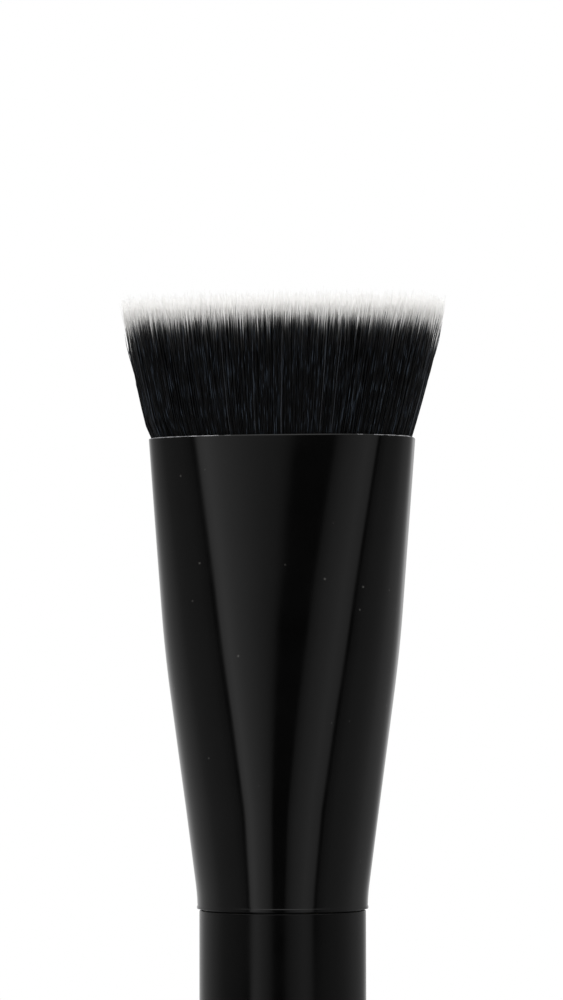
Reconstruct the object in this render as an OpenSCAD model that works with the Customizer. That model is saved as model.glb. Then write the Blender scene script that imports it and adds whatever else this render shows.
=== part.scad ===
// Contour brush: an oval bundle of fibres cut flat, in a black ferrule on a turned and lacquered handle.
// It stands upright, +Z along the handle, with the lowest point of its butt at the origin.
// +X runs across the wide face of the ferrule, and +Y through its thickness.

/* [Handle] */
// Length of the handle from its butt to the shoulder under the ferrule
handle_len = 108; // [85:1:130]
// Diameter of the straight neck under the ferrule
neck_d = 14; // [12.5:0.1:15]
// Length of the straight neck
neck_len = 34.5; // [10:0.5:50]
// Diameter where the taper meets the domed butt
butt_d = 9; // [6:0.1:12]
// Height of the domed butt
butt_h = 3.6; // [1.5:0.1:6]
// Rounding of the lacquered shoulder edge
shoulder_round = 0.15; // [0.1:0.05:0.35]

/* [Tenon] */
// Air gap between the top of the tenon and the plug in the ferrule
tenon_air = 5.1; // [2:0.1:8]
// How much slimmer the tenon is at its top than at its foot, on each side
tenon_draft = 0.3; // [0:0.05:0.8]
// Chamfer at the top of the tenon
tenon_chamfer = 0.8; // [0.2:0.1:1.2]
// Number of glue grooves turned in the tenon
groove_count = 3; // [1:1:4]
// Width of a glue groove
groove_w = 1.1; // [0.5:0.1:1.3]
// Depth of a glue groove
groove_depth = 0.35; // [0.1:0.05:0.6]

/* [Ferrule] */
// Length of the ferrule from its foot to its mouth
ferrule_len = 39.5; // [37:0.5:50]
// How far its round foot stands out over the neck of the handle
foot_stand = 0.15; // [0.05:0.05:0.4]
// Outside width of the oval mouth
mouth_w = 22.5; // [21:0.1:25]
// Outside thickness of the oval mouth
mouth_d = 12; // [10.6:0.1:14]
// Thickness of the drawn tube
wall = 0.3; // [0.25:0.05:0.5]
// Depth below the mouth where the steep lower flare turns into the gentle upper one
knee_drop = 18; // [14:0.5:21]
// Outside width there
knee_w = 19.75; // [19:0.05:20.5]
// Height of the parallel stretch at the foot
foot_flat = 0.9; // [0.5:0.1:2]
// Height up to which the tube isn't pressed flat along its faces
round_len = 8; // [5:0.5:14]
// How far the rolled lip of the foot stands out
lip_out = 0.05; // [0.04:0.01:0.15]
// Height of that lip
lip_h = 0.3; // [0.2:0.05:0.6]
// Gap of the seam between the foot and the shoulder of the handle
seam = 0.1; // [0.05:0.05:0.3]

/* [Fibres] */
// Height of the fibres above the mouth of the ferrule
fibre_len = 12.4; // [10:0.2:18]
// How much wider the bundle is at its cut tips than the mouth
fan_w = 5.6; // [3:0.1:7]
// How much thicker the bundle is at its cut tips than the mouth
fan_d = 3.6; // [2:0.1:5]
// How far the black fibres stop below the pale-tipped ones
pale_len = 2.3; // [1:0.1:4]
// Length of a strand's pointed tip
point_len = 2; // [1:0.1:4]
// Unevenness of the cut
cut_unevenness = 0.35; // [0:0.05:0.6]
// Depth of the fibres inside the mouth
fibre_sink = 8; // [6:0.5:9]
// Rough number of strands that stand for the fibres
strand_aim = 420; // [340:10:460]

/* [Plug and binding] */
// Thickness of the slice of cast resin that carries the strands
slice_h = 1.2; // [0.6:0.1:2]
// Height of the foot of the plug, which fills the ferrule
plug_foot_h = 3; // [1.5:0.1:5]
// Rim of resin outside the middles of the outermost roots
root_margin = 0.6; // [0.45:0.05:0.8]
// Diameter of the binding thread
thread_d = 0.6; // [0.4:0.05:0.65]
// Turns of the binding thread
binding_turns = 6; // [3:1:7]
// Clear space between one turn and the next
turn_gap = 0.46; // [0.42:0.02:0.6]

/* [Hidden] */
$fn = 96;

// Clearances: of cast resin off the metal and the wood, of thread off the resin, of the middles of
// the outermost strands off the inside of the mouth, and of the tenon off the tube
film = 0.04;
thread_gap = 0.12;
mouth_gap = 0.4;
glue_film = 0.15;

// Rounding where two straight stretches of the ferrule's side meet, as a blend of their widths
knee_blend = 0.4;
foot_blend = 0.3;
// The same where its girth stops growing, as a blend of radii
girth_blend = 0.5;
// Edge taken off the cut rim of the mouth
rim_edge = 0.08;

// Points along curves
oval_sides = 64;
flare_steps = 16;
taper_steps = 16;
dome_steps = 8;
round_steps = 3;
rings_a_turn = 24;
thread_sides = 6;
strand_sides = 3;

// How full the handle's taper is: 1 is a straight cone
taper_fullness = 1.6;
// How full an oval is: the number of an ellipse, and that of the mouth, which is flatter along its faces
ellipse_fullness = 2;
mouth_fullness = 2.8;
// Shares of the distance between strands: half the width of a strand, and how far it strays
strand_half_share = 0.4;
stray_share = 0.06;
// Share of the strands that are black and stop short
short_share = 0.45;
// The share of its square up to which a place counts as inside the root oval
edge_share = 1.001;
stray_seed = 7;
cut_seed = 11;
kind_seed = 23;
golden_turn = 180 * (3 - sqrt(5));

ferrule_z = handle_len + seam;
foot_d = neck_d + 2 * foot_stand;
knee_h = ferrule_len - knee_drop;
mouth_girth_r = sqrt((pow(mouth_w, 2) + pow(mouth_d, 2)) / 8);

// Heights above the foot of the ferrule: the cut tips, the roots, the top of the resin plug, the step
// from its neck, round which the roots are bound, to its foot, its underside, and the tenon's top
tip_h = ferrule_len + fibre_len;
root_h = ferrule_len - fibre_sink;
plug_top = root_h - slice_h;
binding_pitch = thread_d + turn_gap;
binding_h = binding_turns * binding_pitch + thread_d;
plug_step = plug_top - binding_h - 2 * thread_gap;
plug_low = plug_step - plug_foot_h;
tenon_len = plug_low - tenon_air;

// The smaller or larger of two lengths, with the corner between them rounded
function soft_min(a, b, blend) = min(a, b) - pow(max(blend - abs(a - b), 0), 2) / (4 * blend);
function soft_max(a, b, blend) = -soft_min(-a, -b, blend);

// Outside of the ferrule at height h above its foot. The tube is a cone up to the knee and no wider
// above it. It is pressed oval, so its thickness follows from its girth and the two slopes of its width.
function lower_w(h) = foot_d + (knee_w - foot_d) * (h - foot_flat) / (knee_h - foot_flat);
function upper_w(h) = mouth_w - (mouth_w - knee_w) * (ferrule_len - h) / (ferrule_len - knee_h);
function half_w(h) = soft_max(foot_d, soft_min(lower_w(h), upper_w(h), knee_blend), foot_blend) / 2;
function cone_r(h) = foot_d / 2 + (mouth_girth_r - foot_d / 2) * (h - foot_flat) / (knee_h - foot_flat);
function girth_r(h) = soft_min(soft_max(foot_d / 2, cone_r(h), foot_blend / 2), mouth_girth_r, girth_blend);
function half_d(h) = sqrt(2 * pow(girth_r(h), 2) - pow(half_w(h), 2));

// How far an oval of some fullness stands out over the ellipse in its box, as a share, at each turn
function outness(turn, full) = pow(pow(abs(cos(turn)), full) + pow(abs(sin(turn)), full), -1 / full);

// A level oval, how full the ferrule's is at height h, and the ferrule's own there, drawn in by inset
function oval(a, b, z, full = ellipse_fullness) = [for (k = [0:oval_sides - 1])
    let (turn = 360 * k / oval_sides, out = outness(turn, full)) [a * out * cos(turn), b * out * sin(turn), z]];
function fullness(h) = ellipse_fullness
    + (mouth_fullness - ellipse_fullness) * max(h - round_len, 0) / (ferrule_len - round_len);
function ferrule_oval(h, inset) = oval(half_w(h) - inset, half_d(h) - inset, ferrule_z + h, fullness(h));

// A skin over rings of equal count, each seen turning left from the end that they run towards.
// finish is "capped", "looped" back to the first ring, or "pointed" at tip.
module skin(rings, finish = "capped", tip = []) {
    n = len(rings[0]);
    m = len(rings);
    last = (m - 1) * n;
    spans = finish == "looped" ? m : m - 1;
    sides = [for (j = [0:spans - 1], k = [0:n - 1])
        let (a = j * n + k, b = j * n + (k + 1) % n, up = (j + 1) % m * n, c = up + (k + 1) % n, d = up + k)
        each [[a, d, c], [a, c, b]]];
    start_cap = finish == "looped" ? [] : [for (k = [1:n - 2]) [0, k, k + 1]];
    end_cap = finish == "capped" ? [for (k = [1:n - 2]) [last, last + k + 1, last + k]] : [];
    point = finish == "pointed" ? [for (k = [0:n - 1]) [last + k, m * n, last + (k + 1) % n]] : [];
    polyhedron(
        points = concat([for (ring = rings) each ring], finish == "pointed" ? [tip] : []),
        faces = concat(sides, start_cap, end_cap, point), convexity = 6);
}

// The handle: a straight neck, a full taper, a domed butt, and a grooved tenon above the shoulder
neck_r = neck_d / 2;
butt_r = butt_d / 2;
neck_z = handle_len - neck_len;
tenon_foot_r = foot_d / 2 - wall - glue_film;
tenon_top_r = tenon_foot_r - tenon_draft;
groove_pitch = (tenon_len - tenon_chamfer) / (groove_count + 1);

function tenon_r(h) = tenon_foot_r + (tenon_top_r - tenon_foot_r) * h / tenon_len;
function taper_r(s) = neck_r - (neck_r - butt_r) * pow(1 - s, taper_fullness);
function raised(outline, z) = [for (p = outline) [p.x, p.y + z]];

// Outline of the tenon above the shoulder, with its grooves, spread outwards by grow
function groove(h, grow) = let (half = groove_w / 2 - grow, low = h - half, high = h + half) [
    [tenon_r(low) + grow, low], [tenon_r(low) + grow - groove_depth, low],
    [tenon_r(high) + grow - groove_depth, high], [tenon_r(high) + grow, high]];
function tenon_outline(grow) = concat(
    [for (g = [1:groove_count]) each groove(g * groove_pitch, grow)],
    [[tenon_r(tenon_len - tenon_chamfer) + grow, tenon_len - tenon_chamfer],
     [tenon_top_r + grow - tenon_chamfer, tenon_len]]);

module handle() color("#141416") rotate_extrude() polygon(concat(
    [for (k = [0:dome_steps - 1]) let (turn = 90 * k / dome_steps)
        [butt_r * sin(turn), butt_h * (1 - cos(turn))]],
    [for (k = [0:taper_steps]) let (s = k / taper_steps) [taper_r(s), butt_h + (neck_z - butt_h) * s]],
    [for (k = [0:round_steps]) let (turn = 90 * k / round_steps)
        [neck_r - shoulder_round * (1 - cos(turn)), handle_len - shoulder_round * (1 - sin(turn))]],
    [[tenon_foot_r, handle_len]],
    raised(tenon_outline(0), handle_len),
    [[0, handle_len + tenon_len]]));

// The ferrule: a drawn tube with a rolled lip at its foot, flared in two slopes to an oval mouth
module ferrule() color("#101012") skin(concat(
    [ferrule_oval(0, -lip_out), ferrule_oval(lip_h / 2, -lip_out)],
    [for (k = [0:flare_steps]) ferrule_oval(lip_h + (ferrule_len - rim_edge - lip_h) * k / flare_steps, 0)],
    [ferrule_oval(ferrule_len, rim_edge)],
    [for (k = [flare_steps:-1:0]) ferrule_oval(ferrule_len * k / flare_steps, wall)]), "looped");

// The adhesive round the tenon: it fills the grooves and the room that the flare leaves open
glue_low = glue_film;
glue_high = tenon_len - tenon_chamfer;
glue_steps = 5;
module ferrule_glue() color("#c9b98a") difference() {
    skin([for (k = [0:glue_steps])
        ferrule_oval(glue_low + (glue_high - glue_low) * k / glue_steps, wall + film)]);
    translate([0, 0, handle_len]) rotate_extrude() polygon(concat(
        [[0, -seam], [tenon_foot_r + film, -seam]],
        tenon_outline(film),
        [[0, tenon_len]]));
}

// The fan of fibres: straight lines from the roots to the tips that just clear the mouth.
// The roots leave room for the binding between themselves and the tube, also at its narrow end.
tip_a = (mouth_w + fan_w) / 2;
tip_b = (mouth_d + fan_d) / 2;
binding_room = wall + thread_gap + thread_d + thread_gap + root_margin;
function root_half(mouth_half, tip_half) = mouth_half - (tip_half - mouth_half) * fibre_sink / fibre_len;
root_a = min(root_half(half_w(ferrule_len) - wall - mouth_gap, tip_a),
    min(half_w(plug_step), half_w(root_h)) - binding_room);
root_b = min(root_half(half_d(ferrule_len) - wall - mouth_gap, tip_b),
    min(half_d(plug_step), half_d(root_h)) - binding_room);

// The resin plug: a foot that fills the tube, and above it the bound neck
neck_a = root_a + root_margin;
neck_b = root_b + root_margin;
module epoxy_plug() color("#8a6a3a") skin([
    ferrule_oval(plug_low, wall + film), ferrule_oval((plug_low + plug_step) / 2, wall + film),
    ferrule_oval(plug_step, wall + film),
    oval(neck_a, neck_b, ferrule_z + plug_step), oval(neck_a, neck_b, ferrule_z + plug_top)]);

// The binding: one thread wound in a helix round the neck of the plug
thread_r = thread_d / 2;
binding_low = ferrule_z + plug_step + thread_gap + thread_r;
thread_steps = binding_turns * rings_a_turn;
function thread_spot(k) = let (turn = 360 * k / rings_a_turn) [
    (neck_a + thread_gap + thread_r) * cos(turn), (neck_b + thread_gap + thread_r) * sin(turn),
    binding_low + binding_pitch * k / rings_a_turn];
function outward(k) = let (turn = 360 * k / rings_a_turn, v = [neck_b * cos(turn), neck_a * sin(turn), 0])
    v / norm(v);
function thread_ring(k) = [for (j = [0:thread_sides - 1]) let (turn = 360 * j / thread_sides)
    thread_spot(k) + thread_r * (sin(turn) * outward(k) + cos(turn) * [0, 0, 1])];
thread_path = [for (k = [0:thread_steps]) thread_spot(k)];
thread_clear = min([for (j = [0:thread_steps], k = [j + rings_a_turn / 2:1:thread_steps])
    norm(thread_path[j] - thread_path[k])]) - thread_d;
echo(least_gap_of_the_binding_to_itself = thread_clear);
module root_binding() color("#d8d2c4") skin([for (k = [0:thread_steps]) thread_ring(k)]);

// The strands stand in a triangular pattern that just reaches the ends and faces of the root oval.
// Each strays a little, and none touches another, because all keep to the fan and widen as it does.
root_pitch = sqrt(PI * root_a * root_b * 2 / sqrt(3) / strand_aim);
columns = round(root_a / root_pitch);
rows = 2 * round(root_b / root_pitch / sqrt(3));
column_pitch = root_a / columns;
row_pitch = root_b / rows;
least_pitch = min(column_pitch, norm([column_pitch / 2, row_pitch]));
strand_r = least_pitch * strand_half_share;
spread = min(tip_a / root_a, tip_b / root_b);
places = [for (j = [-rows:rows], i = [-columns:columns])
    let (x = (i + abs(j) % 2 / 2) * column_pitch, y = j * row_pitch)
    if (pow(x / root_a, 2) + pow(y / root_b, 2) < edge_share) [x, y]];
strays = rands(-stray_share, stray_share, 2 * len(places), stray_seed);
cuts = rands(0, 1, len(places), cut_seed);
kinds = rands(0, 1, len(places), kind_seed);
echo(strands = len(places));

// Where the fibre rooted at p is at height h, and the strand's section there. The tips fill an oval as
// full as the mouth.
function risen(h) = (h - root_h) / (tip_h - root_h);
function strand_spot(p, h) = let (out = outness(atan2(p.y / root_b, p.x / root_a), mouth_fullness)) [
    p.x * (1 + (out * tip_a / root_a - 1) * risen(h)), p.y * (1 + (out * tip_b / root_b - 1) * risen(h)),
    ferrule_z + h];
function strand_ring(p, h, turn) = let (r = strand_r * (1 + (spread - 1) * max(risen(h), 0)))
    [for (k = [0:strand_sides - 1]) let (a = turn + 360 * k / strand_sides)
        strand_spot(p, h) + [r * cos(a), r * sin(a), 0]];

module strand(p, top, turn) skin(
    [for (h = [root_h - slice_h / 2, root_h, top - point_len]) strand_ring(p, h, turn)],
    "pointed", strand_spot(p, top));

// The bundle: the strands and the slice of resin that carries them are one solid
module bristle_bundle() color("#0d0e12") resize([0, 0, 0]) {
    skin([oval(neck_a, neck_b, ferrule_z + plug_top), oval(neck_a, neck_b, ferrule_z + root_h)]);
    for (k = [0:len(places) - 1]) strand(
        places[k] + least_pitch * [strays[2 * k], strays[2 * k + 1]],
        tip_h - cut_unevenness * cuts[k] - (kinds[k] < short_share ? pale_len : 0),
        k * golden_turn);
}

handle();
ferrule();
ferrule_glue();
epoxy_plug();
root_binding();
bristle_bundle();
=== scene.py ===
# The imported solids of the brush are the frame: metres, +Z up the handle, the butt's lowest point at
# the origin. The ferrule's wide face looks along -Y, towards the camera.
import math
import bpy
import numpy as np
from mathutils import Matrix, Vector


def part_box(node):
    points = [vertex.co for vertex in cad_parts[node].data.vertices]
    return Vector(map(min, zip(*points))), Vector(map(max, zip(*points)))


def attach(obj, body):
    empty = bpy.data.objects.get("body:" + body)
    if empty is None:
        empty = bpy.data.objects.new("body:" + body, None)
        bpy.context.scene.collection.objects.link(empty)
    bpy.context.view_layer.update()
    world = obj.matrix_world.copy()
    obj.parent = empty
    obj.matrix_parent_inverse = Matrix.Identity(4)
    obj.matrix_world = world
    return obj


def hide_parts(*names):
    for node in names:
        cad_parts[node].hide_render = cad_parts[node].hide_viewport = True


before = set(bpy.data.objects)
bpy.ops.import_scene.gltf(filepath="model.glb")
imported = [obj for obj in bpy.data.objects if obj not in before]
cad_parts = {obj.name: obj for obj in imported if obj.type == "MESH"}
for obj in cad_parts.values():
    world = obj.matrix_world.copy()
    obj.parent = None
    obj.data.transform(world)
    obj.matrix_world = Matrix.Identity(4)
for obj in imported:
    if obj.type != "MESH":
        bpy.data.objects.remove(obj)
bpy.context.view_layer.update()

MM = 0.001


# The handle is turned from birch and dipped in black lacquer, which rounds the shoulder and dries to
# a soft gloss. Its grooved tenon stays bare wood, because glue has to hold on it.
handle_low, handle_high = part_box("handle")
ferrule_low, ferrule_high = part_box("ferrule")
seam_gap = 0.1 * MM
shoulder_z = ferrule_low.z - seam_gap
neck_r = (handle_high.x - handle_low.x) / 2
neck_len = 34.5 * MM
butt_r = 4.5 * MM
butt_h = 3.6 * MM
taper_fullness = 1.6
shoulder_round = 0.15 * MM
tenon_foot_r = 6.7 * MM
tenon_top_r = 6.4 * MM
tenon_chamfer = 0.8 * MM
groove_count = 3
groove_w = 1.1 * MM
groove_depth = 0.35 * MM
pole_r = 0.1 * MM
bare_from = 1.2 * MM
handle_sides = 128
handle_crease = math.radians(32)


def raise_skin(name, rings, sides, bottom):
    """A skin raised ring by ring from a round blank. A ring is (half width, half thickness, height)."""
    bpy.ops.object.select_all(action="DESELECT")
    wide, thick, low = rings[0]
    bpy.ops.mesh.primitive_circle_add(vertices=sides, radius=1, fill_type=bottom, location=(0, 0, low))
    skin = bpy.context.object
    skin.name = skin.data.name = name
    bpy.ops.object.mode_set(mode="EDIT")
    bpy.ops.transform.resize(value=(wide, thick, 1), center_override=(0, 0, low))
    for ring, following in zip(rings, rings[1:]):
        rise = following[2] - ring[2]
        bpy.ops.mesh.extrude_region_move(TRANSFORM_OT_translate={"value": (0, 0, rise)})
        grow = (following[0] / ring[0], following[1] / ring[1], 1)
        bpy.ops.transform.resize(value=grow, center_override=(0, 0, following[2]))
    bpy.ops.mesh.select_all(action="SELECT")
    bpy.ops.mesh.normals_make_consistent(inside=False)
    bpy.ops.object.mode_set(mode="OBJECT")
    bpy.ops.object.transform_apply(location=True, rotation=True, scale=True)
    return skin


def round_rings(outline):
    """The rings of a round piece, from its outline: pairs of radius and height, from the butt up."""
    return [(r, r, z) for r, z in outline]


def butt_dome(steps=14):
    for k in range(steps):
        turn = math.pi / 2 * k / steps
        yield max(butt_r * math.sin(turn), pole_r), butt_h * (1 - math.cos(turn))


def full_taper(steps=40):
    neck_z = shoulder_z - neck_len
    for k in range(steps + 1):
        share = k / steps
        yield (neck_r - (neck_r - butt_r) * (1 - share) ** taper_fullness,
               butt_h + (neck_z - butt_h) * share)


def rounded_shoulder(steps=6):
    for k in range(steps + 1):
        turn = math.pi / 2 * k / steps
        yield (neck_r - shoulder_round * (1 - math.cos(turn)),
               shoulder_z - shoulder_round * (1 - math.sin(turn)))


def grooved_tenon():
    tenon_len = handle_high.z - shoulder_z
    shrink = (tenon_top_r - tenon_foot_r) / tenon_len
    yield tenon_foot_r, shoulder_z
    yield tenon_foot_r + shrink * bare_from, shoulder_z + bare_from
    for groove in range(1, groove_count + 1):
        middle = (tenon_len - tenon_chamfer) * groove / (groove_count + 1)
        for side, depth in ((-1, 0), (-1, groove_depth), (1, groove_depth), (1, 0)):
            h = middle + side * groove_w / 2
            yield tenon_foot_r + shrink * h - depth, shoulder_z + h
    yield tenon_top_r + shrink * -tenon_chamfer, handle_high.z - tenon_chamfer
    yield tenon_top_r - tenon_chamfer, handle_high.z


handle = raise_skin("turned_handle", round_rings(
    [*butt_dome(), *full_taper(), *rounded_shoulder(), *grooved_tenon()]), handle_sides, "TRIFAN")
bpy.ops.object.shade_smooth_by_angle(angle=handle_crease)


def linear(code):
    """A colour written as sRGB hex, such as "#141416", in the linear values that Blender takes."""
    shares = [int(code[i:i + 2], 16) / 255 for i in (1, 3, 5)]
    return [s / 12.92 if s <= 0.04045 else ((s + 0.055) / 1.055) ** 2.4 for s in shares] + [1.0]


def add_node(tree, kind, settings=None, links=None, **sockets):
    """A new node with its settings, its plain socket values and its links from other nodes' outputs."""
    node = tree.nodes.new(kind)
    for key, value in (settings or {}).items():
        setattr(node, key, value)
    for key, value in sockets.items():
        node.inputs[key.replace("_", " ")].default_value = value
    for key, source in (links or {}).items():
        tree.links.new(source, node.inputs[key])
    return node


def new_finish(name, **sockets):
    """A material with its node tree and its one Principled shader, whose plain values are set here."""
    finish = bpy.data.materials.new(name)
    finish.use_nodes = True
    shader = finish.node_tree.nodes["Principled BSDF"]
    for key, value in sockets.items():
        shader.inputs[key.replace("_", " ")].default_value = value
    return finish, finish.node_tree, shader


def colour_stops(ramp, stops):
    """Fills a colour ramp from (place, linear colour) pairs."""
    elements = ramp.color_ramp.elements
    while len(elements) < len(stops):
        elements.new(0.5)
    for element, (place, colour) in zip(elements, stops):
        element.position = place
        element.color = colour


# Black nitrocellulose lacquer, dipped and air-dried: near-black, softly glossy, with the faint swell
# of the drips and the grain, a little uneven in gloss where hands and dust touched it.
lacquer, tree, shader = new_finish("dipped_black_lacquer", IOR=1.5, Specular_IOR_Level=0.2)
spot = add_node(tree, "ShaderNodeTexCoord").outputs["Object"]
swell = add_node(tree, "ShaderNodeTexNoise", links={"Vector": spot}, Scale=1 / (2.2 * MM), Detail=2.0)
rub = add_node(tree, "ShaderNodeTexNoise", links={"Vector": spot}, Scale=1 / (6 * MM), Detail=4.0)
gloss = add_node(tree, "ShaderNodeMapRange", links={"Value": rub.outputs["Fac"]},
                 From_Min=0.3, From_Max=0.7, To_Min=0.16, To_Max=0.22)
tree.links.new(gloss.outputs["Result"], shader.inputs["Roughness"])
tone = add_node(tree, "ShaderNodeValToRGB", links={"Fac": rub.outputs["Fac"]})
colour_stops(tone, [(0.3, linear("#020202")), (0.7, linear("#040404"))])
tree.links.new(tone.outputs["Color"], shader.inputs["Base Color"])
relief = add_node(tree, "ShaderNodeBump", links={"Height": swell.outputs["Fac"]},
                  Strength=0.06, Distance=0.02 * MM)
tree.links.new(relief.outputs["Normal"], shader.inputs["Normal"])

# Bare turned birch: pale and matt, with fine long grain along the handle.
birch, tree, shader = new_finish("bare_turned_birch", Roughness=0.62, IOR=1.45)
spot = add_node(tree, "ShaderNodeTexCoord").outputs["Object"]
along = add_node(tree, "ShaderNodeMapping", links={"Vector": spot})
along.inputs["Scale"].default_value = (1 / (0.35 * MM), 1 / (0.35 * MM), 1 / (9 * MM))
grain = add_node(tree, "ShaderNodeTexNoise", links={"Vector": along.outputs["Vector"]},
                 Scale=1.0, Detail=5.0)
tone = add_node(tree, "ShaderNodeValToRGB", links={"Fac": grain.outputs["Fac"]})
colour_stops(tone, [(0.35, linear("#c9a877")), (0.68, linear("#e6cfa4"))])
tree.links.new(tone.outputs["Color"], shader.inputs["Base Color"])
relief = add_node(tree, "ShaderNodeBump", links={"Height": grain.outputs["Fac"]},
                  Strength=0.3, Distance=0.03 * MM)
tree.links.new(relief.outputs["Normal"], shader.inputs["Normal"])

handle.data.materials.append(lacquer)
handle.data.materials.append(birch)
for face in handle.data.polygons:
    face.material_index = int(face.center.z > shoulder_z + bare_from)
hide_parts("handle")
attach(handle, "root")


# The adhesive is a two-part glue wiped round the tenon before the ferrule is pressed on. It fills the
# grooves and the corners that the oval leaves open, and sets hard, amber and slightly cloudy.
glue, tree, shader = new_finish("set_two_part_glue", Roughness=0.38, IOR=1.52)
spot = add_node(tree, "ShaderNodeTexCoord").outputs["Object"]
cloud = add_node(tree, "ShaderNodeTexNoise", links={"Vector": spot}, Scale=1 / (1.6 * MM), Detail=4.0)
tone = add_node(tree, "ShaderNodeValToRGB", links={"Fac": cloud.outputs["Fac"]})
colour_stops(tone, [(0.35, linear("#bfae7b")), (0.65, linear("#d2c394"))])
tree.links.new(tone.outputs["Color"], shader.inputs["Base Color"])
relief = add_node(tree, "ShaderNodeBump", links={"Height": cloud.outputs["Fac"]},
                  Strength=0.25, Distance=0.05 * MM)
tree.links.new(relief.outputs["Normal"], shader.inputs["Normal"])


def refinish(node, finish):
    """Gives a solid that stays as it is its real finish."""
    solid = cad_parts[node]
    solid.data.materials.clear()
    solid.data.materials.append(finish)


refinish("ferrule_glue", glue)


# The plug is epoxy resin poured round the roots of the fibres. It cures honey-brown and glassy, with
# fine bubbles that couldn't rise before it set.
resin, tree, shader = new_finish("cast_epoxy_resin", Roughness=0.18, IOR=1.55)
spot = add_node(tree, "ShaderNodeTexCoord").outputs["Object"]
depth = add_node(tree, "ShaderNodeTexNoise", links={"Vector": spot}, Scale=1 / (4 * MM), Detail=2.0)
bubble = add_node(tree, "ShaderNodeTexVoronoi", links={"Vector": spot}, Scale=1 / (0.8 * MM))
tone = add_node(tree, "ShaderNodeValToRGB", links={"Fac": depth.outputs["Fac"]})
colour_stops(tone, [(0.3, linear("#7c5b2c")), (0.7, linear("#9a7540"))])
tree.links.new(tone.outputs["Color"], shader.inputs["Base Color"])
relief = add_node(tree, "ShaderNodeBump", links={"Height": bubble.outputs["Distance"]},
                  Strength=0.15, Distance=0.04 * MM)
tree.links.new(relief.outputs["Normal"], shader.inputs["Normal"])
refinish("epoxy_plug", resin)


# The binding is one waxed polyester thread, wound tightly round the roots so that they can't splay
# while the resin is poured. Its two plies show as slanting ridges, about 0.8 mm apart.
ridge_scale = 0.16 / (0.35 * MM)
thread, tree, shader = new_finish("waxed_polyester_thread", Roughness=0.55, IOR=1.5, Sheen_Weight=0.3)
spot = add_node(tree, "ShaderNodeTexCoord").outputs["Object"]
ply = add_node(tree, "ShaderNodeTexWave", {"bands_direction": "DIAGONAL"}, {"Vector": spot},
               Scale=ridge_scale, Distortion=0.6)
tone = add_node(tree, "ShaderNodeValToRGB", links={"Fac": ply.outputs["Fac"]})
colour_stops(tone, [(0.2, linear("#bdb5a3")), (0.7, linear("#dfd9cc"))])
tree.links.new(tone.outputs["Color"], shader.inputs["Base Color"])
relief = add_node(tree, "ShaderNodeBump", links={"Height": ply.outputs["Fac"]},
                  Strength=0.5, Distance=0.05 * MM)
tree.links.new(relief.outputs["Normal"], shader.inputs["Normal"])
refinish("root_binding", thread)


# The ferrule is an aluminium tube drawn to a cone, coated gloss black, and pressed oval towards its
# mouth, flattest along its faces. Its foot has a rolled lip, and its cut mouth shows thin bare metal.
lip_out = 0.05 * MM
lip_h = 0.3 * MM
wall = 0.3 * MM
lip_turn_share = 0.8
cut_edge = 0.1 * MM
sharp_share = 0.3
sharp_angle = math.radians(50)
whole_from = -4 * MM
whole_to = 8 * MM
ragged_shares = (0.7, 1.2)
outward_share = 0.2
ferrule_len = ferrule_high.z - ferrule_low.z
foot_w = 14.3 * MM
mouth_w = ferrule_high.x - ferrule_low.x
mouth_d = 12 * MM
knee_h = 21.5 * MM
knee_w = 19.75 * MM
foot_flat = 0.9 * MM
round_len = 8 * MM
knee_blend = 0.4 * MM
foot_blend = 0.3 * MM
girth_blend = 0.5 * MM
mouth_fullness = 2.8


def soft_min(a, b, blend):
    return min(a, b) - max(blend - abs(a - b), 0) ** 2 / (4 * blend)


def soft_max(a, b, blend):
    return -soft_min(-a, -b, blend)


def half_width(h):
    """Half the ferrule's width at height h above its foot: two slopes with a soft knee between."""
    lower = foot_w + (knee_w - foot_w) * (h - foot_flat) / (knee_h - foot_flat)
    upper = mouth_w - (mouth_w - knee_w) * (ferrule_len - h) / (ferrule_len - knee_h)
    return soft_max(foot_w, soft_min(lower, upper, knee_blend), foot_blend) / 2


def half_thickness(h):
    """Half its thickness there, from its girth, which grows like a cone's up to the knee."""
    mouth_r = math.sqrt((mouth_w ** 2 + mouth_d ** 2) / 8)
    cone_r = foot_w / 2 + (mouth_r - foot_w / 2) * (h - foot_flat) / (knee_h - foot_flat)
    girth_r = soft_min(soft_max(foot_w / 2, cone_r, foot_blend / 2), mouth_r, girth_blend)
    return math.sqrt(2 * girth_r ** 2 - half_width(h) ** 2)


def fullness(h):
    """2 where its section is an ellipse, and more where it is pressed flatter along its faces."""
    return 2 + (mouth_fullness - 2) * max(h - round_len, 0) / (ferrule_len - round_len)


def outness(turn, full):
    """How far such a section stands out over the ellipse in its box, as a share."""
    return (np.abs(np.cos(turn)) ** full + np.abs(np.sin(turn)) ** full) ** (-1 / full)


def ferrule_ring(h, out=0.0):
    return half_width(h) + out, half_thickness(h) + out, ferrule_low.z + h


# The last ring but one lies close under the mouth, so the shading of the broken edge stays on the edge
wall_steps = 72
rim_band = 0.15 * MM
ferrule_sides = 144
ferrule_crease = math.radians(35)
ferrule = raise_skin("drawn_ferrule", [
    ferrule_ring(0, lip_out), ferrule_ring(lip_h / 2, lip_out),
    ferrule_ring(lip_h * lip_turn_share, lip_out / 2),
    *(ferrule_ring(lip_h + (ferrule_len - lip_h) * k / wall_steps) for k in range(wall_steps)),
    ferrule_ring(ferrule_len - rim_band), ferrule_ring(ferrule_len)],
    ferrule_sides, "NOTHING")
for point in ferrule.data.vertices:
    h = point.co.z - ferrule_low.z
    turn = math.atan2(point.co.y / half_thickness(h), point.co.x / half_width(h))
    point.co.xy *= outness(turn, fullness(h))

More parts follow.
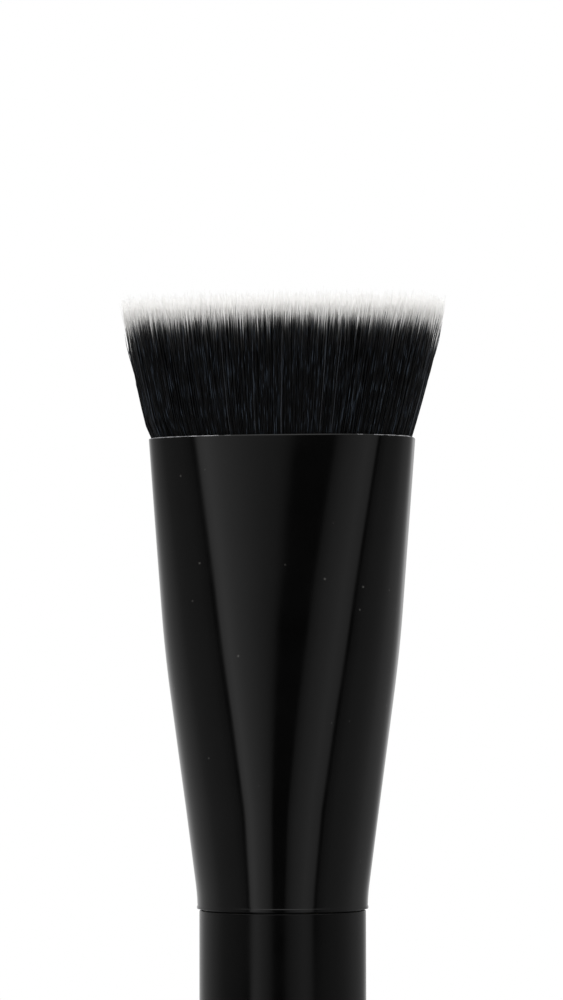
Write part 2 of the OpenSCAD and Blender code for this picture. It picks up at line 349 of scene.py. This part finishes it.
# Black gloss enamel on aluminium, sprayed and baked: a smooth dark mirror with a trace of orange peel,
# and a few specks of dust.
enamel, tree, shader = new_finish("baked_black_enamel", IOR=1.5, Specular_IOR_Level=0.31)
spot = add_node(tree, "ShaderNodeTexCoord").outputs["Object"]
peel = add_node(tree, "ShaderNodeTexNoise", links={"Vector": spot}, Scale=1 / (1.1 * MM), Detail=1.0)
smear = add_node(tree, "ShaderNodeTexNoise", links={"Vector": spot}, Scale=1 / (5 * MM), Detail=3.0)
gloss = add_node(tree, "ShaderNodeMapRange", links={"Value": smear.outputs["Fac"]},
                 From_Min=0.3, From_Max=0.7, To_Min=0.07, To_Max=0.12)
tree.links.new(gloss.outputs["Result"], shader.inputs["Roughness"])
tone = add_node(tree, "ShaderNodeValToRGB", links={"Fac": smear.outputs["Fac"]})
colour_stops(tone, [(0.3, linear("#030303")), (0.7, linear("#050505"))])
dust = add_node(tree, "ShaderNodeTexVoronoi", links={"Vector": spot}, Scale=1 / (2.2 * MM))
speck = add_node(tree, "ShaderNodeMapRange", links={"Value": dust.outputs["Distance"]},
                 From_Min=0.01, From_Max=0.06, To_Min=0.3, To_Max=0.0)
dusty = add_node(tree, "ShaderNodeMix", {"data_type": "RGBA"},
                 {0: speck.outputs["Result"], 6: tone.outputs["Color"]})
dusty.inputs[7].default_value = linear("#7c7b78")
tree.links.new(dusty.outputs[2], shader.inputs["Base Color"])
relief = add_node(tree, "ShaderNodeBump", links={"Height": peel.outputs["Fac"]},
                  Strength=0.03, Distance=0.01 * MM)
tree.links.new(relief.outputs["Normal"], shader.inputs["Normal"])

# Bare aluminium where the tube was cut: bright, a little dull from the saw and the deburring.
cut_metal, tree, shader = new_finish("cut_aluminium_edge", Metallic=1.0)
spot = add_node(tree, "ShaderNodeTexCoord").outputs["Object"]
burr = add_node(tree, "ShaderNodeTexNoise", links={"Vector": spot}, Scale=1 / (0.9 * MM), Detail=3.0)
tone = add_node(tree, "ShaderNodeValToRGB", links={"Fac": burr.outputs["Fac"]})
colour_stops(tone, [(0.4, linear("#5e5e60")), (0.65, linear("#9c9c9e"))])
tree.links.new(tone.outputs["Color"], shader.inputs["Base Color"])
gloss = add_node(tree, "ShaderNodeMapRange", links={"Value": burr.outputs["Fac"]},
                 To_Min=0.3, To_Max=0.5)
tree.links.new(gloss.outputs["Result"], shader.inputs["Roughness"])

ferrule.data.materials.append(enamel)
ferrule.data.materials.append(cut_metal)
thickened = ferrule.modifiers.new("wall", "SOLIDIFY")
thickened.thickness = wall
thickened.offset = -1
thickened.material_offset = 1
thickened.material_offset_rim = 1
bpy.ops.object.modifier_apply(modifier="wall")

# The edges of the mouth are broken wider towards its ends, where they are worn. The rest, and those
# of the foot, stay nearly sharp.
bpy.ops.object.mode_set(mode="EDIT")
bpy.ops.mesh.select_mode(type="EDGE")
bpy.ops.mesh.select_all(action="DESELECT")
bpy.ops.mesh.edges_select_sharp(sharpness=sharp_angle)
bpy.ops.object.mode_set(mode="OBJECT")
middle_z = (ferrule_low.z + ferrule_high.z) / 2
breaks = ferrule.data.attributes.new("bevel_weight_edge", "FLOAT", "EDGE")
for edge in ferrule.data.edges:
    corner = ferrule.data.vertices[edge.vertices[0]].co
    worn = corner.z > middle_z and not whole_from < corner.x < whole_to
    breaks.data[edge.index].value = edge.select * (1 if worn else sharp_share)
eased = ferrule.modifiers.new("cut edges", "BEVEL")
eased.width = cut_edge
eased.segments = 3
eased.limit_method = "WEIGHT"
eased.material = 1
bpy.ops.object.modifier_apply(modifier="cut edges")

# The enamel reaches over the outer edge of the mouth and is worn through towards its two ends
wear = np.random.default_rng(5)
for face in ferrule.data.polygons:
    outward = face.normal.xy.dot(face.center.xy) > outward_share * face.center.xy.length
    worn = not whole_from < face.center.x * wear.uniform(*ragged_shares) < whole_to
    if outward and (face.center.z < middle_z or not worn):
        face.material_index = 0
bpy.ops.object.shade_smooth_by_angle(angle=ferrule_crease)
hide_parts("ferrule")
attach(ferrule, "root")


# The bundle is some thousands of synthetic fibres, black ones and longer ones that are left pale at
# their ends. They are shaken level, fanned by the mouth of the ferrule and cut flat across the top.
bundle_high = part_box("bristle_bundle")[1]
fibre_count = 26000
fibre_len = bundle_high.z - ferrule_high.z
fibre_sink = 3 * MM
fibre_r = 0.038 * MM
mouth_half_w = half_width(ferrule_len) - wall - fibre_r
mouth_half_d = half_thickness(ferrule_len) - wall - fibre_r
tip_half_w = 13.93 * MM
tip_half_d = 7.6 * MM
tip_lean = 0.12 * MM
rim_swell = 0.3 * MM
swell_h = 0.2 * MM
fan_bend = 0.2
gather_power = 2.5

# One fibre is drawn first, three-sided, upright and 1 long. Its rings lie closer towards its end, which
# tapers almost to a point.
bpy.ops.object.select_all(action="DESELECT")
bpy.ops.mesh.primitive_circle_add(vertices=3, radius=1, fill_type="NGON", location=(0, 0, 0))
fibre = bpy.context.object
bpy.ops.object.mode_set(mode="EDIT")
ring_shares = [0, 0.2, 0.34, 0.47, 0.6, 0.72, 0.83, 0.92, 1]
girth_shares = [1, 1, 1, 1, 1, 0.97, 0.9, 0.7, 0.22]
for k in range(1, len(ring_shares)):
    bpy.ops.mesh.extrude_region_move(
        TRANSFORM_OT_translate={"value": (0, 0, ring_shares[k] - ring_shares[k - 1])})
    taper = girth_shares[k] / girth_shares[k - 1]
    bpy.ops.transform.resize(value=(taper, taper, 1), center_override=(0, 0, ring_shares[k]))
bpy.ops.mesh.select_all(action="SELECT")
bpy.ops.mesh.normals_make_consistent(inside=False)
bpy.ops.mesh.quads_convert_to_tris()
bpy.ops.object.mode_set(mode="OBJECT")
fibre_points = np.array([tuple(v.co) for v in fibre.data.vertices])
fibre_faces = np.array([tuple(f.vertices) for f in fibre.data.polygons])
bpy.data.objects.remove(fibre)


def lay_fibres(name, roots, traits):
    """One mesh of many fibres, each a copy of the drawn one, run from its root to its own cut end."""
    count = len(roots)
    tops = traits["top"]
    share = np.clip(fibre_points[:, 2], 0, 1)
    h = -fibre_sink + (tops[:, None] + fibre_sink) * share[None, :]
    fan = h / fibre_len
    free = np.clip(fan, 0, 1)
    # Pressed against the rim, the bundle swells over it, most at its left end and not at its right one
    pushed = rim_swell * (1 - roots[:, :1]) / 2
    swell = pushed * (1 - np.exp(-np.maximum(h, 0) / swell_h))
    opened = fan * (1 + fan_bend - fan_bend * free)
    wide = mouth_half_w + (tip_half_w - pushed - mouth_half_w) * opened + swell
    thick = mouth_half_d + (tip_half_d - pushed - mouth_half_d) * opened + swell
    wave = traits["bow"] * np.sin(traits["pace"] * fan * math.pi + traits["phase"]) * free
    out = outness(np.arctan2(roots[:, 1], roots[:, 0]), mouth_fullness)[:, None]
    gathered = free ** gather_power
    x = roots[:, :1] * wide * out + tip_lean * free + traits["stray"][:, :1] * gathered + wave
    y = roots[:, 1:] * thick * out + traits["stray"][:, 1:] * gathered - wave
    turn = traits["turn"][:, None]
    local = fibre_points[:, :2] * fibre_r
    girth = traits["girth"][:, None]
    x = x + (local[None, :, 0] * np.cos(turn) - local[None, :, 1] * np.sin(turn)) * girth
    y = y + (local[None, :, 0] * np.sin(turn) + local[None, :, 1] * np.cos(turn)) * girth
    points = np.stack([x, y, h + ferrule_high.z], axis=2).reshape(-1, 3)
    faces = (fibre_faces[None] + len(fibre_points) * np.arange(count)[:, None, None]).reshape(-1, 3)
    mesh = bpy.data.meshes.new(name)
    mesh.vertices.add(len(points))
    mesh.vertices.foreach_set("co", points.astype(np.float32).ravel())
    mesh.loops.add(faces.size)
    mesh.loops.foreach_set("vertex_index", faces.astype(np.int32).ravel())
    mesh.polygons.add(len(faces))
    mesh.polygons.foreach_set("loop_start", np.arange(0, faces.size, 3, dtype=np.int32))
    mesh.update(calc_edges=True)
    # The map runs across by the fibre's tone, and up by the height over its own change of colour
    across = np.repeat(traits["tone"], len(fibre_points))
    up = 0.5 + (h - traits["change"][:, None]).ravel() / (2 * fibre_len)
    strip = mesh.uv_layers.new(name="OFBake")
    corners = faces.ravel()
    strip_spots = np.stack([across[corners], up[corners]], axis=1)
    strip.data.foreach_set("uv", strip_spots.astype(np.float32).ravel())
    mesh.polygons.foreach_set("use_smooth", np.ones(len(faces), dtype=bool))
    laid = bpy.data.objects.new(name, mesh)
    bpy.context.scene.collection.objects.link(laid)
    return laid


# Where the fibres stand: spread evenly over the mouth, each a little off its place. Places across the
# bundle are shares of its half width.
rng = np.random.default_rng(20)
root_jitter_share = 0.35
golden_angle = math.pi * (3 - math.sqrt(5))
order = np.arange(fibre_count)
radius = np.sqrt((order + 0.5) / fibre_count)
roots = np.stack([radius * np.cos(order * golden_angle), radius * np.sin(order * golden_angle)], axis=1)
roots += rng.normal(0, root_jitter_share / math.sqrt(fibre_count), roots.shape)
outside = np.maximum(np.hypot(roots[:, 0], roots[:, 1]), 1)[:, None]
roots /= outside

# Fibres lean together in locks: neighbours near the same lock's middle stray towards it at their tips
lock_count = 2500
lock_pull_shares = (0.1, 0.5)
lone_stray = 0.12 * MM
locks = np.sqrt(rng.random(lock_count)) * np.exp(2j * math.pi * rng.random(lock_count))
spots = roots[:, 0] + 1j * roots[:, 1]
nearest = np.array([np.argmin(np.abs(locks - s)) for s in spots])
pull = (locks[nearest] - spots) * rng.uniform(*lock_pull_shares, fibre_count)
stray = np.stack([pull.real * tip_half_w, pull.imag * tip_half_d], axis=1)
stray += rng.normal(0, lone_stray, stray.shape)

# Pale-tipped fibres turn pale at their own heights, higher in the middle of the bundle and lower at its
# two loose ends. A few are early ones, which turn pale further down.
outside_from = 0.85
pale_share = 0.55
pale_outside_share = 0.6
pale_from = 9.14 * MM
pale_spread = 0.25 * MM
crown = 0.25 * MM
crown_half_share = 0.35
left_loose_from = 0.78
left_loose_fall = 4.2 * MM
right_loose_from = 0.9
right_loose_fall = 2.2 * MM
early_share = 0.02
early_low = 6.8 * MM
early_high = 8.6 * MM
is_pale = rng.random(fibre_count) < np.where(radius > outside_from, pale_outside_share, pale_share)
crowned = crown * (1 - np.minimum(np.abs(roots[:, 0]) / crown_half_share, 1))
on_left = roots[:, 0] < 0
loose_from = np.where(on_left, left_loose_from, right_loose_from)
at_end = np.clip((np.abs(roots[:, 0]) - loose_from) / (1 - loose_from), 0, 1)
change = rng.normal(pale_from, pale_spread, fibre_count) + crowned
change -= at_end * np.where(on_left, left_loose_fall, right_loose_fall) * rng.random(fibre_count) ** 2
early = rng.random(fibre_count) < early_share
change[early] = rng.uniform(early_low, early_high, early.sum())
change[~is_pale] = 2 * fibre_len

# Black fibres and early ones stop where the others turn pale. A few black ones are taller.
tips_under = 0.95 * MM
tip_spread = 0.26 * MM
black_stop = 9.44 * MM
black_spread = 0.28 * MM
shortest = 6 * MM
tall_share = 0.012
tall_low = 9.6 * MM
tall_high = 11 * MM
top = np.where(is_pale & ~early, fibre_len - tips_under + rng.normal(0, tip_spread, fibre_count),
               rng.normal(black_stop, black_spread, fibre_count) + crowned)
top = np.clip(top, shortest, fibre_len)
tall = (~is_pale) & (rng.random(fibre_count) < tall_share)
top[tall] = rng.uniform(tall_low, tall_high, tall.sum())

# Odd black fibres, few but at the two ends, bow more. They and the early ones of either kind have tones
# above the dull step, which are grey all along and dull where they turn pale.
tone_low = 0.01
tone_span = 0.94
dull_step = (0.955, 0.965)
dull_tones = (0.97, 0.99)
odd_share = 0.008
odd_end_share = 0.4
bow_spread = 0.08 * MM
odd_bow = 3
tone = rng.random(fibre_count) * tone_span + tone_low
odd = (~is_pale) & (rng.random(fibre_count) < odd_share + odd_end_share * at_end)
tone[odd | early] = rng.uniform(*dull_tones, (odd | early).sum())
bow = rng.normal(0, bow_spread, (fibre_count, 1))
bow[odd] *= odd_bow
traits = {
    "top": top,
    "change": change,
    "stray": stray,
    "bow": bow,
    "pace": rng.uniform(1.5, 4, (fibre_count, 1)),
    "phase": rng.uniform(0, 2 * math.pi, (fibre_count, 1)),
    "turn": rng.uniform(0, 2 * math.pi, fibre_count),
    "girth": rng.uniform(0.8, 1.15, fibre_count),
    "tone": tone,
}

# Black nylon fibres, extruded and tapered by acid: dark blue-black, and from fibre to fibre a slightly
# different depth of dye. The silky streaks of light along each are a painted sheen, a lighter colour.
tones_across = 900
# The length along a fibre of each streak of painted sheen.
sheen_streak_len = 1.6 * MM


def dye_and_painted_sheen(tree, spot, parts):
    """Nylon colours: dye differing by fibre, painted sheen in short streaks along each, a few grey
    fibres.
    """
    along = add_node(tree, "ShaderNodeMapping", links={"Vector": spot})
    along.inputs["Scale"].default_value = (tones_across, 2 * fibre_len / sheen_streak_len, 1)
    painted_sheen_streak = add_node(tree, "ShaderNodeTexNoise", {"noise_dimensions": "2D"},
                      {"Vector": along.outputs["Vector"]}, Scale=1.0, Detail=1.0)
    # The lower stops are the dye; the upper stops are a painted sheen, light streaks along each fibre.
    dye_and_sheen = add_node(tree, "ShaderNodeValToRGB", links={"Fac": painted_sheen_streak.outputs["Fac"]})
    colour_stops(dye_and_sheen, [(0.35, linear("#010102")), (0.52, linear("#040507")),
                        (0.61, linear("#0f1318")), (0.71, linear("#2d343d"))])
    grey = add_node(tree, "ShaderNodeMapRange", links={"Value": parts.outputs["X"]},
                    From_Min=dull_step[0], From_Max=dull_step[1])
    both = add_node(tree, "ShaderNodeMix", {"data_type": "RGBA"},
                    {0: grey.outputs["Result"], 6: dye_and_sheen.outputs["Color"]})
    both.inputs[7].default_value = linear("#3a3d42")
    return both.outputs[2]


black_fibre, tree, shader = new_finish("black_nylon_fibre", IOR=1.53, Specular_IOR_Level=0.24)
map_spot = add_node(tree, "ShaderNodeUVMap", {"uv_map": "OFBake"}).outputs["UV"]
parts = add_node(tree, "ShaderNodeSeparateXYZ", links={"Vector": map_spot})
tree.links.new(dye_and_painted_sheen(tree, map_spot, parts), shader.inputs["Base Color"])
gloss = add_node(tree, "ShaderNodeMapRange", links={"Value": parts.outputs["X"]},
                 To_Min=0.5, To_Max=0.36)
tree.links.new(gloss.outputs["Result"], shader.inputs["Roughness"])

# The same nylon left undyed at its end: chalky white above a soft change of colour.
soft_below = 2.3 * MM
soft_above = 0.7 * MM
pale_fibre, tree, shader = new_finish("pale_tipped_nylon_fibre", IOR=1.53, Specular_IOR_Level=0.24)
map_spot = add_node(tree, "ShaderNodeUVMap", {"uv_map": "OFBake"}).outputs["UV"]
parts = add_node(tree, "ShaderNodeSeparateXYZ", links={"Vector": map_spot})
near = add_node(tree, "ShaderNodeMapRange", links={"Value": parts.outputs["Y"]},
                From_Min=0.5 - soft_below / (2 * fibre_len), From_Max=0.5 + soft_above / (2 * fibre_len))
above = add_node(tree, "ShaderNodeValToRGB", links={"Fac": near.outputs["Result"]})
colour_stops(above, [(0.0, (0, 0, 0, 1)), (0.5, (0.022, 0.022, 0.022, 1)),
                     (0.66, (0.1, 0.1, 0.1, 1)), (0.82, (0.5, 0.5, 0.5, 1)), (1.0, (1, 1, 1, 1))])
light = add_node(tree, "ShaderNodeValToRGB", links={"Fac": parts.outputs["X"]})
colour_stops(light, [(0.0, linear("#faf9f7")), (dull_step[0], linear("#fefdfc")),
                     (dull_step[1], linear("#505256"))])
both = add_node(tree, "ShaderNodeMix", {"data_type": "RGBA"})
tree.links.new(above.outputs["Color"], both.inputs[0])
# Below the change the pale-tipped fibres take the black fibres' dye and their painted sheen.
tree.links.new(dye_and_painted_sheen(tree, map_spot, parts), both.inputs[6])
tree.links.new(light.outputs["Color"], both.inputs[7])
tree.links.new(both.outputs[2], shader.inputs["Base Color"])
gloss = add_node(tree, "ShaderNodeMapRange", links={"Value": above.outputs["Color"]},
                 To_Min=0.42, To_Max=0.6)
tree.links.new(gloss.outputs["Result"], shader.inputs["Roughness"])

# Each kind of fibre is laid as the four quarters of the bundle, which keeps every mesh under 200,000
# triangles.
for kind, chosen, finish in (("black", ~is_pale, black_fibre), ("pale_tipped", is_pale, pale_fibre)):
    for quarter in range(4):
        left, front = quarter % 2, quarter // 2
        group = chosen & ((roots[:, 0] < 0) == left) & ((roots[:, 1] < 0) == front)
        name = f"{kind}_fibres_{'front' if front else 'back'}_{'left' if left else 'right'}"
        laid = lay_fibres(name, roots[group], {key: value[group] for key, value in traits.items()})
        laid.data.materials.append(finish)
        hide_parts("bristle_bundle")
        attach(laid, "root")


# The studio floor is a wide pale board under the butt. Away from the brush it fades into the white
# of the backdrop, so no edge shows, and near the brush it keeps the shadow. It isn't mirrored in the
# brush, where its round edge would show as a patch.
floor_r = 0.45
floor_sides = 96
floor_margin = floor_r * 0.6
fade_from = 0.1
fade_to = 0.4
bpy.ops.object.select_all(action="DESELECT")
bpy.ops.mesh.primitive_circle_add(
    vertices=floor_sides, radius=floor_r, fill_type="TRIFAN", location=(0, 0, 0))
floor = bpy.context.object
floor.name = "studio_floor"
bpy.ops.object.mode_set(mode="EDIT")
bpy.ops.mesh.inset(thickness=floor_margin)
bpy.ops.object.mode_set(mode="OBJECT")
board, tree, shader = new_finish("matt_white_board", Roughness=0.7)
shader.inputs["Base Color"].default_value = linear("#d0d0d0")
spot = add_node(tree, "ShaderNodeTexCoord").outputs["Object"]
away = add_node(tree, "ShaderNodeVectorMath", {"operation": "LENGTH"}, {"Vector": spot})
fade = add_node(tree, "ShaderNodeMapRange", {"interpolation_type": "SMOOTHSTEP"},
                {"Value": away.outputs["Value"]}, From_Min=fade_from, From_Max=fade_to)
glow = add_node(tree, "ShaderNodeEmission", Strength=1.0)
seen = add_node(tree, "ShaderNodeLightPath")
lit = add_node(tree, "ShaderNodeMath", {"operation": "MULTIPLY"})
tree.links.new(fade.outputs["Result"], lit.inputs[0])
tree.links.new(seen.outputs["Is Camera Ray"], lit.inputs[1])
mixed = add_node(tree, "ShaderNodeMixShader", links={0: lit.outputs["Value"], 1: shader.outputs["BSDF"],
                                                     2: glow.outputs["Emission"]})
tree.links.new(mixed.outputs["Shader"], tree.nodes["Material Output"].inputs["Surface"])
floor.data.materials.append(board)
floor.visible_glossy = False


# The camera stands a third of a metre off, a little to the right of the wide face, at about the height
# of the middle of the ferrule, and looks up slightly.
turn_right = math.radians(7.8)
camera_away = 337 * MM
camera_height = 124.3 * MM
pitch_up = math.radians(3.08)
roll = math.radians(0.085)
aim_left = math.radians(0.013)
camera_data = bpy.data.cameras.new("camera")
camera_data.sensor_width = 36
camera_data.lens = 143.9
camera_data.clip_start = 0.01
camera = bpy.data.objects.new("camera", camera_data)
camera.location = (camera_away * math.sin(turn_right), -camera_away * math.cos(turn_right),
                   camera_height)
camera.rotation_euler = (math.pi / 2 + pitch_up, roll, turn_right + aim_left)
bpy.context.scene.collection.objects.link(camera)
bpy.context.scene.camera = camera


# The studio round the brush is the world's own light: two tall softboxes beside the camera with a
# dark gap between them, dim walls beside those, a white backdrop behind, and a bright ring overhead.
light_strength = 2.0
overhead_level = 2.1
overhead_from = math.radians(23)
overhead_full = math.radians(33)
ring_inside = math.radians(62)
ring_hole = math.radians(72)
hole_share = 0.15
world = bpy.data.worlds.new("studio")
bpy.context.scene.world = world
world.use_nodes = True
tree = world.node_tree
tree.nodes.clear()
look = add_node(tree, "ShaderNodeTexCoord").outputs["Generated"]
parts = add_node(tree, "ShaderNodeSeparateXYZ", links={"Vector": look})
towards = add_node(tree, "ShaderNodeMath", {"operation": "MULTIPLY"})
tree.links.new(parts.outputs["Y"], towards.inputs[0])
towards.inputs[1].default_value = -1
bearing = add_node(tree, "ShaderNodeMath", {"operation": "ARCTAN2"})
tree.links.new(parts.outputs["X"], bearing.inputs[0])
tree.links.new(towards.outputs["Value"], bearing.inputs[1])
around = add_node(tree, "ShaderNodeMapRange", links={"Value": bearing.outputs["Value"]},
                  From_Min=turn_right - math.pi, From_Max=turn_right + math.pi)


def wall_stops(levels):
    """Ramp stops from (degrees to the right of the camera, brightness) pairs."""
    return [(0.5 + degrees / 360, [level / light_strength] * 3 + [1]) for degrees, level in levels]


walls = add_node(tree, "ShaderNodeValToRGB", links={"Fac": around.outputs["Result"]})
colour_stops(walls, wall_stops([
    (-180, 0.8), (-150, 0.7), (-136, 0.55), (-104, 0.45), (-90, 0.33), (-60, 0.26), (-50, 0.17),
    (-48.5, 0.05), (-45.3, 0.05), (-44.3, 0.95), (-38, 1.15), (-30, 0.8), (-22, 0.55), (-16, 0.35),
    (-12.5, 0.03), (2.5, 0.03), (4.5, 0.22), (12, 0.42), (20, 0.55), (29, 0.7), (37, 0.62), (41.5, 0.52),
    (42.7, 0.05), (46, 0.05), (48, 0.16), (60, 0.27), (80, 0.32), (110, 0.42), (136, 0.32), (150, 0.4),
    (162, 0.7)]))
rise = add_node(tree, "ShaderNodeMapRange", {"interpolation_type": "SMOOTHSTEP"},
                {"Value": parts.outputs["Z"]},
                From_Min=math.sin(overhead_from), From_Max=math.sin(overhead_full))
ring = add_node(tree, "ShaderNodeMapRange", {"interpolation_type": "SMOOTHSTEP"},
                {"Value": parts.outputs["Z"]},
                From_Min=math.sin(ring_inside), From_Max=math.sin(ring_hole),
                To_Min=1.0, To_Max=hole_share)
overhead = add_node(tree, "ShaderNodeMix", {"data_type": "RGBA"},
                    {0: rise.outputs["Result"], 6: walls.outputs["Color"]})
overhead.inputs[7].default_value = [overhead_level / light_strength] * 3 + [1]
shaped = add_node(tree, "ShaderNodeMix", {"data_type": "RGBA", "blend_type": "MULTIPLY"},
                  {6: overhead.outputs[2], 7: ring.outputs["Result"]})
shaped.inputs[0].default_value = 1.0
studio_light = add_node(tree, "ShaderNodeBackground", links={"Color": shaped.outputs[2]},
                        Strength=light_strength)
white = add_node(tree, "ShaderNodeBackground", Strength=1.0)
white.inputs["Color"].default_value = (1, 1, 1, 1)
seen = add_node(tree, "ShaderNodeLightPath")
chosen = add_node(tree, "ShaderNodeMixShader", links={0: seen.outputs["Is Camera Ray"],
                                                      1: studio_light.outputs["Background"],
                                                      2: white.outputs["Background"]})
add_node(tree, "ShaderNodeOutputWorld", links={"Surface": chosen.outputs["Shader"]})
bpy.context.scene.view_settings.view_transform = "Standard"
